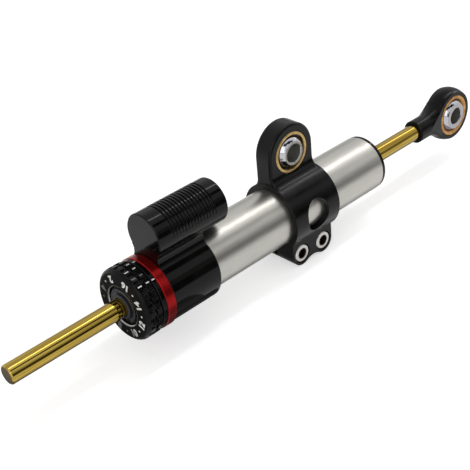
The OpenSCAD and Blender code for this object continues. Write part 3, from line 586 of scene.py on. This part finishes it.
# %% Dress the solids
FINISH = (
    (rod_gold, "damper_rod"),
    (tube_metal, "tube"),
    (black_housing, "end_cap", "valve_housing"),
    (black_knob, "index_ring", "adjuster_knob"),
    (black_clamp, "clamp_bracket"),
    (black_rod_end, "rod_end"),
    (red_anodised, "red_ring"),
    (clamp_ball_steel, "clamp_ball"),
    (eye_ball_steel, "rod_end_ball"),
    (detent_steel, "detent_ball"),
    (race_brass, "clamp_race"),
    (race_copper, "rod_end_race"),
    (cap_screw, "clamp_screws"),
    (small["screw_zinc"], "spool_pin", "fill_screw"),
    (small["shaded_washer"], "knob_washer"),
    (small["gland_grey"], "front_gland", "reservoir_plug"),
    (small["spring_steel"], "piston_clips", "detent_spring", "knob_circlip", "plug_circlip"),
    (small["piston_metal"], "piston", "floating_piston"),
    (small["spool_brass"], "metering_spool"),
    (small["bush_bronze"], "end_bush", "front_bush"),
    (small["band_plastic"], "piston_band"),
    (small["seal_plastic"], "end_seal", "front_seal"),
    (small["rubber"], "end_wiper", "end_o_ring", "front_wiper", "front_o_ring", "plug_o_ring",
     "floater_o_ring"),
)
dressed = 0
for material, *names in FINISH:
    for name in names:
        slots = nodes[name].data.materials
        slots.clear()
        slots.append(material)
        dressed += 1
print("solids dressed:", dressed, "of", len(nodes))

# %% [markdown]
# The dial is printed in white. From the second click on, even clicks have a number and
# odd clicks a dot, with each digit's top towards the rod, so that a rider who looks down
# the rod reads it. A print has next to no height: each digit is flattened text, made
# into a mesh and laid on the knob's face. Positions go round in equal clicks from the
# one next to the index mark. On the side below the rod, where a thumb turns the dial,
# the paint is rubbed away.

# %% White print
PAINT_DULL = (0.80, 0.80, 0.78)
PAINT_FRESH = (0.94, 0.94, 0.92)
PAINT_WORN = (0.012, 0.012, 0.012)
SPECKLE_RANGE = (0.35, 0.6)
WORN_ANGLE = math.radians(320.0)
WORN_LIMITS = (0.0002, 0.0048)
WORN_SHARE = 0.86
# The grey of the dimmer painted glints on the knurl's lands.
GLINT_GREY = ((0.20, 0.20, 0.195), 0.0, 0.55, 5200, 0.2)

white_print_and_glints, tree, shader = new_material("white_print_and_glints", PAINT_DULL, metallic=0.0, roughness=0.55)
speckle = noise(tree, place(tree), scale=2600)
fresh = blend_colors(tree, ramp(tree, speckle, *SPECKLE_RANGE), PAINT_DULL, PAINT_FRESH)
from_axis = vector_math(tree, "SUBTRACT", place(tree), (0, AXIS_Y, AXIS_Z))["Vector"]
worn_side = (0, math.cos(WORN_ANGLE), math.sin(WORN_ANGLE))
sideways = vector_math(tree, "DOT_PRODUCT", from_axis, worn_side)["Value"]
worn = ramp(tree, sideways, *WORN_LIMITS, to_high=WORN_SHARE)
wire(tree, shader, Base_Color=blend_colors(tree, worn, fresh, PAINT_WORN))
bump(tree, shader, speckle, strength=0.2, depth=LINE_DEPTH)
glint_grey_paint = small_finish("glint_grey_paint", *GLINT_GREY)
print("paints:", white_print_and_glints.name, glint_grey_paint.name)

# %% Dial numbers and dots
CLICKS = 16
INDEX_CLICK = 15
PRINT_ANGLE = 133.0
NUMBER_RADIUS = 0.0117
NUMBER_HEIGHT = 0.0029
DIGIT_SHARE = 0.7
BOLD_SHARE = 0.07
DOT_RADIUS = 0.00045
DOT_TOP_RADIUS = 0.00042
PRINT_THICKNESS = 0.00006
WELD_DISTANCE = 1e-7


def on_knob_face(angle_deg, radius):
    """Matrix that lays a flat shape on the knob's face, its top towards the rod."""
    a = math.radians(angle_deg)
    outward = Vector((0, math.cos(a), math.sin(a)))
    normal = Vector((-1, 0, 0))
    up = -outward
    right = up.cross(normal)
    matrix = Matrix((right, up, normal)).transposed().to_4x4()
    matrix.translation = Vector((KNOB_FACE_X, AXIS_Y, AXIS_Z)) + radius * outward
    return matrix


def click_angle(click):
    return PRINT_ANGLE + (INDEX_CLICK - click) * 360.0 / CLICKS


def text_mesh(text, height):
    """Flat text as a mesh. A digit takes up DIGIT_SHARE of the font's size."""
    curve = bpy.data.curves.new("digits", "FONT")
    curve.body = text
    curve.size = height / DIGIT_SHARE
    curve.align_x = "CENTER"
    curve.align_y = "CENTER"
    curve.offset = height * BOLD_SHARE
    curve.resolution_u = 5
    curve.extrude = PRINT_THICKNESS / 2
    holder = bpy.data.objects.new("digits", curve)
    bpy.context.scene.collection.objects.link(holder)
    bpy.context.view_layer.update()
    mesh = bpy.data.meshes.new_from_object(holder)
    bpy.data.objects.remove(holder)
    bpy.data.curves.remove(curve)
    return mesh


def finish_piece(name, bm, body, material):
    """Turns a bmesh into a piece that rides on a body."""
    bmesh.ops.remove_doubles(bm, verts=bm.verts, dist=WELD_DISTANCE)
    bmesh.ops.recalc_face_normals(bm, faces=bm.faces)
    mesh = bpy.data.meshes.new(name)
    bm.to_mesh(mesh)
    bm.free()
    mesh.materials.append(material)
    piece = bpy.data.objects.new(name, mesh)
    bpy.context.scene.collection.objects.link(piece)
    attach(piece, body)
    return piece


digits = bmesh.new()
dots = bmesh.new()
for click in range(2, CLICKS + 1):
    spot = on_knob_face(click_angle(click), NUMBER_RADIUS)
    if click % 2 == 0:
        digit = text_mesh(str(click), NUMBER_HEIGHT)
        digit.transform(spot)
        digits.from_mesh(digit)
        bpy.data.meshes.remove(digit)
    else:
        bmesh.ops.create_cone(dots, cap_ends=True, segments=20, radius1=DOT_RADIUS,
                              radius2=DOT_TOP_RADIUS, depth=PRINT_THICKNESS, matrix=spot)
dial_numbers = finish_piece("dial_numbers", digits, "knob", white_print_and_glints)
dial_dots = finish_piece("dial_dots", dots, "knob", white_print_and_glints)
for piece in (dial_numbers, dial_dots):
    print(piece.name + ":", len(piece.data.polygons), "faces")

# %% [markdown]
# The index mark is a short stroke of the same paint along both knurl rows, with one more
# on the fixed ring behind them. Strokes of this white at two other angles are painted
# glints where the knurl's lands catch the light: a pair on the lands at one, and one on
# the rear row with one more on the fixed ring at the other. A grey pair at a third angle
# is a dimmer painted glint. Each stroke starts as one edge along X on the surface, which
# is spun by about two degrees about the rod's axis and thickened, so it hugs the round.

# %% Index strokes and painted glints
STROKE_WIDTH = 0.00048
FRONT_ROW = (0.0018, 0.0036)
REAR_ROW = (0.0057, 0.0071)
INDEX_ANGLE = 129.2
# The next three angles carry painted glints where the lands catch the light.
SIDE_GLINT_ANGLE = 99.2
LAST_GLINT_ANGLE = 85.6
FAINT_GLINT_ANGLE = 114.6
RING_MARGIN = 0.0004


def stroke(bm, x_from, x_to, radius, angle_deg):
    """A painted stroke along X on a round surface about the rod's axis."""
    half = STROKE_WIDTH / radius / 2
    start = math.radians(angle_deg) - half
    spot = (AXIS_Y + radius * math.cos(start), AXIS_Z + radius * math.sin(start))
    ends = [bmesh.ops.create_vert(bm, co=(x, *spot))["vert"][0] for x in (x_from, x_to)]
    edge = bm.edges.new(ends)
    spun = bmesh.ops.spin(bm, geom=[*ends, edge], cent=(0, AXIS_Y, AXIS_Z), axis=(1, 0, 0),
                          angle=2 * half, steps=4, use_merge=False)
    patch = {f for e in spun["geom_last"] for f in getattr(e, "link_faces", [])}
    grown = set(patch)
    while patch:
        patch = {g for f in patch for e in f.edges for g in e.link_faces} - grown
        grown |= patch
    bmesh.ops.solidify(bm, geom=list(grown), thickness=PRINT_THICKNESS)


def knob_rows(bm, angle, rows):
    for first, last in rows:
        stroke(bm, KNOB_FACE_X + first, KNOB_FACE_X + last, KNOB_RADIUS, angle)


knob_strokes_and_glints = bmesh.new()
knob_rows(knob_strokes_and_glints, INDEX_ANGLE, (FRONT_ROW, REAR_ROW))
# The strokes at the next two angles are painted glints.
knob_rows(knob_strokes_and_glints, SIDE_GLINT_ANGLE, (FRONT_ROW, REAR_ROW))
knob_rows(knob_strokes_and_glints, LAST_GLINT_ANGLE, (REAR_ROW,))
knob_marks_and_glints = finish_piece("knob_marks_and_glints", knob_strokes_and_glints, "knob", white_print_and_glints)
faint_glint_strokes = bmesh.new()
# A dimmer painted glint in grey.
knob_rows(faint_glint_strokes, FAINT_GLINT_ANGLE, (FRONT_ROW, REAR_ROW))
faint_glints = finish_piece("faint_glints", faint_glint_strokes, "knob", glint_grey_paint)
index_low, index_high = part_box("index_ring")
index_radius = (index_high.y - index_low.y) / 2
ring_from = index_low.x + RING_MARGIN
ring_to = index_high.x - RING_MARGIN
ring_strokes_and_glint = bmesh.new()
# The second stroke on the ring is a painted glint.
for angle in (INDEX_ANGLE, LAST_GLINT_ANGLE):
    stroke(ring_strokes_and_glint, ring_from, ring_to, index_radius, angle)
index_mark_and_glint = finish_piece("index_mark_and_glint", ring_strokes_and_glint, "barrel", white_print_and_glints)
for piece in (knob_marks_and_glints, faint_glints, index_mark_and_glint):
    print(piece.name + ":", len(piece.data.polygons), "faces")

# %% [markdown]
# The floor is pale and matt and lies half a millimetre under the part's lowest point, so
# the part's soft shadow falls on it. A weak glow lifts it to white, for the camera and
# in reflections only, so that no more light falls on the part.

# %% Floor
FLOOR_GAP = 0.0005
FLOOR_Z = cad_low.z - FLOOR_GAP
FLOOR_HALF_SIDE = 4.0
FLOOR_COLOR = (0.86, 0.86, 0.86)
FLOOR_GLOW = 0.53
WHITE = (1, 1, 1, 1)


def seen_directly(tree):
    """1 for rays from the camera, a reflection or a refraction, and 0 for all others."""
    path = add(tree, "LightPath").outputs
    seen = math_node(tree, "MAXIMUM", path["Is Camera Ray"], path["Is Glossy Ray"])
    return math_node(tree, "MAXIMUM", seen, path["Is Transmission Ray"])


floor_mesh = bpy.data.meshes.new("floor")
bm = bmesh.new()
bmesh.ops.create_grid(bm, x_segments=1, y_segments=1, size=FLOOR_HALF_SIDE)
bmesh.ops.translate(bm, verts=bm.verts, vec=(0, 0, FLOOR_Z))
bm.to_mesh(floor_mesh)
bm.free()
floor = bpy.data.objects.new("floor", floor_mesh)
bpy.context.scene.collection.objects.link(floor)

floor_paint, tree, shader = new_material("floor_paint", FLOOR_COLOR, metallic=0.0, roughness=0.9)
glow = add(tree, "Emission", {"Color": WHITE, "Strength": FLOOR_GLOW})
lifted = add(tree, "AddShader", {0: shader.outputs[0], 1: glow.outputs[0]}).outputs[0]
chosen = add(tree, "MixShader", {0: seen_directly(tree), 1: shader.outputs[0], 2: lifted})
tree.links.new(chosen.outputs[0], tree.nodes["Material Output"].inputs["Surface"])
floor_mesh.materials.append(floor_paint)
print("floor at z in mm:", round(1000 * FLOOR_Z, 1))

# %% [markdown]
# Three soft boxes light the part: a wide weak one overhead, a narrow bright one near its
# middle, which draws the thin line along the black parts, and a square one at the front.
# To the camera and in reflections the surroundings are white, and they light the part
# half as strongly. A row says where a box stands, its two sides and its brightness.

# %% World and lamps
WORLD_LIGHT = 0.50
WORLD_SEEN = 1.0
MIDDLE = (0.0, 0.0, -0.02)
SOFT_BOXES = {
    "top_box": ((0.565, -0.067, 0.68), (0.49, 1.3), 0.15),
    "strip_box": ((0.53, 0.014, 0.66), (0.070, 1.3), 7.2),
    "front_box": ((-0.90, -0.50, 0.50), (0.8, 0.8), 1.2),
}

world = bpy.data.worlds.new("studio")
bpy.context.scene.world = world
world.use_nodes = True
tree = world.node_tree
background = tree.nodes["Background"]
background.inputs["Color"].default_value = WHITE
world_strength = ramp(tree, seen_directly(tree), 0, 1, WORLD_LIGHT, WORLD_SEEN)
tree.links.new(world_strength, background.inputs["Strength"])


def aimed(name, data, place_at, aim_at):
    """An object turned so that its -Z side faces the point at aim_at."""
    holder = bpy.data.objects.new(name, data)
    holder.location = place_at
    holder.rotation_mode = "QUATERNION"
    holder.rotation_quaternion = (Vector(aim_at) - Vector(place_at)).to_track_quat("-Z", "Y")
    bpy.context.scene.collection.objects.link(holder)
    return holder


def soft_box(name, place_at, size, brightness):
    """An area lamp whose face is this bright, where the white surroundings are 1."""
    lamp = bpy.data.lights.new(name, "AREA")
    lamp.shape = "RECTANGLE"
    lamp.size, lamp.size_y = size
    lamp.energy = brightness * math.pi * size[0] * size[1]
    aimed(name, lamp, place_at, MIDDLE)


for name, row in SOFT_BOXES.items():
    soft_box(name, *row)
print("lamps:", len(SOFT_BOXES))

# %% [markdown]
# Polished metal shows what stands round it. In a studio, cards that the camera doesn't
# see draw the dark bands along a tube. Here too only reflections see them: a black one
# close by on the right with a paler one next to it, a grey one above, a narrow one
# overhead and one at the back. Some more lie flat under the part as a painted shadow: they
# darken the floor where reflections see it under the part, darkest under the valve
# housing. A standing card's row says where it is, the point it faces, its two sides and
# its own plain brightness, which is 1 for the white surroundings. A floor shadow card's
# row says its limits along X and Y and its brightness.

# %% Cards
STANDING_CARDS = {
    "black_card": ((0.065, -0.262, 0.002), (0.065, 0.0, 0.002), (0.43, 0.100), 0.06),
    "side_card": ((0.415, -0.262, 0.002), (0.415, 0.0, 0.002), (0.27, 0.100), 0.45),
    "grey_card": ((0.20, -0.264, 0.092), (0.20, 0.0, 0.092), (0.70, 0.080), 0.38),
    "line_card": ((0.065, -0.210, 0.316), (0.065, 0.0, -0.02), (0.53, 0.082), 0.0),
    "back_card": ((0.485, 0.600, 0.105), (0.0, 0.0, 0.105), (1.40, 0.31), 0.52),
}
# Painted shadow: darker patches on the floor under the part, seen only in reflections.
FLOOR_SHADOW_CARDS = {
    "rod_shadow_card": (-0.175, -0.080, -0.010, 0.005, 0.30),
    "face_shadow_card": (-0.175, -0.080, 0.005, 0.045, 0.15),
    "knob_side_shadow_card": (-0.085, -0.055, -0.045, -0.020, 0.25),
    "knob_shadow_card": (-0.080, -0.048, -0.020, 0.045, 0.08),
    "tube_shadow_card": (-0.048, 0.035, -0.015, 0.045, 0.30),
    "tail_shadow_card": (0.035, 0.130, -0.015, 0.045, 0.42),
}
HALF_METRE = 0.5
FLOOR_CARD_GAP = 0.0003
FLOOR_CARD_Z = cad_low.z - FLOOR_CARD_GAP


def card(name, place_at, aim_at, size, brightness):
    """A glowing sheet that only reflections see. It starts as a square of one metre."""
    paint = bpy.data.materials.new(name + "_paint")
    paint.use_nodes = True
    tree = paint.node_tree
    glow = add(tree, "Emission", {"Color": WHITE, "Strength": brightness})
    tree.links.new(glow.outputs[0], tree.nodes["Material Output"].inputs["Surface"])
    mesh = bpy.data.meshes.new(name)
    bm = bmesh.new()
    bmesh.ops.create_grid(bm, x_segments=1, y_segments=1, size=HALF_METRE)
    bmesh.ops.scale(bm, verts=bm.verts, vec=(*size, 1))
    bm.to_mesh(mesh)
    bm.free()
    mesh.materials.append(paint)
    holder = aimed(name, mesh, place_at, aim_at)
    holder.visible_camera = False
    holder.visible_diffuse = False
    holder.visible_shadow = False


for name, row in STANDING_CARDS.items():
    card(name, *row)
for name, (x_from, x_to, y_from, y_to, brightness) in FLOOR_SHADOW_CARDS.items():
    middle = ((x_from + x_to) / 2, (y_from + y_to) / 2)
    size = (x_to - x_from, y_to - y_from)
    card(name, (*middle, FLOOR_CARD_Z), (*middle, 0.0), size, brightness)
print("cards:", len(STANDING_CARDS) + len(FLOOR_SHADOW_CARDS))

# %% [markdown]
# The colour transform is the plain one, so a colour in a material comes out as it is
# written.

# %% Finish
bpy.context.scene.view_settings.view_transform = "Standard"
